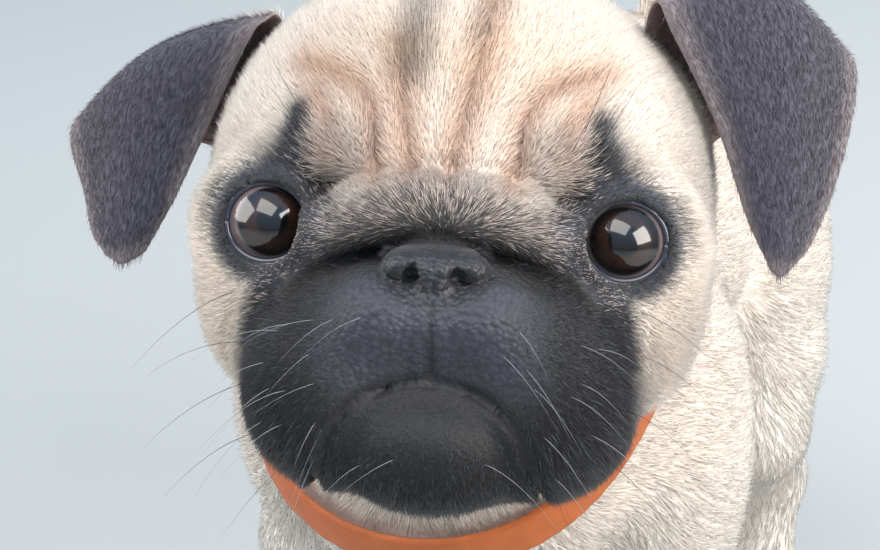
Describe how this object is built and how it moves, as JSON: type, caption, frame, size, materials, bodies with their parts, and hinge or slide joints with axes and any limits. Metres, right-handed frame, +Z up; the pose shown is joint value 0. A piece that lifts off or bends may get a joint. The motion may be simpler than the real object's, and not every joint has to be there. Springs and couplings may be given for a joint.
{
  "type": "pug puppy figure",
  "caption": "Life-size standing pug puppy with its head raised and turned a little, folded ears, a curled tail and a plain collar.",
  "frame": {"origin": "middle of the bounding box, on the floor under the puppy", "axes": "+Z up, -Y where the nose points, +X the puppy's left side"},
  "size_m": [0.1606, 0.3072, 0.2626],
  "materials": {
    "body_coat": "short pale fawn fur",
    "face_coat": "short black fur round eyes and muzzle, fawn above and behind",
    "ear_coat": "short dark velvet fur",
    "nose_leather": "black, finely pebbled, slightly moist",
    "eye": "dark brown, wet",
    "collar": "plain orange leather, satin"
  },
  "bodies": {
    "root": {"head": "face_coat", "nose": "nose_leather", "lower_jaw": "face_coat", "ear_left": "ear_coat", "ear_right": "ear_coat", "eye_left": "eye", "eye_right": "eye", "neck": "body_coat", "chest": "body_coat", "loins": "body_coat", "front_left_upper": "body_coat", "front_left_forearm": "body_coat", "front_left_paw": "body_coat", "front_right_upper": "body_coat", "front_right_forearm": "body_coat", "front_right_paw": "body_coat", "hind_left_thigh": "body_coat", "hind_left_shank": "body_coat", "hind_left_paw": "body_coat", "hind_right_thigh": "body_coat", "hind_right_shank": "body_coat", "hind_right_paw": "body_coat", "tail_base": "body_coat", "tail_curl": "body_coat", "collar": "collar"}
  },
  "joints": []
}
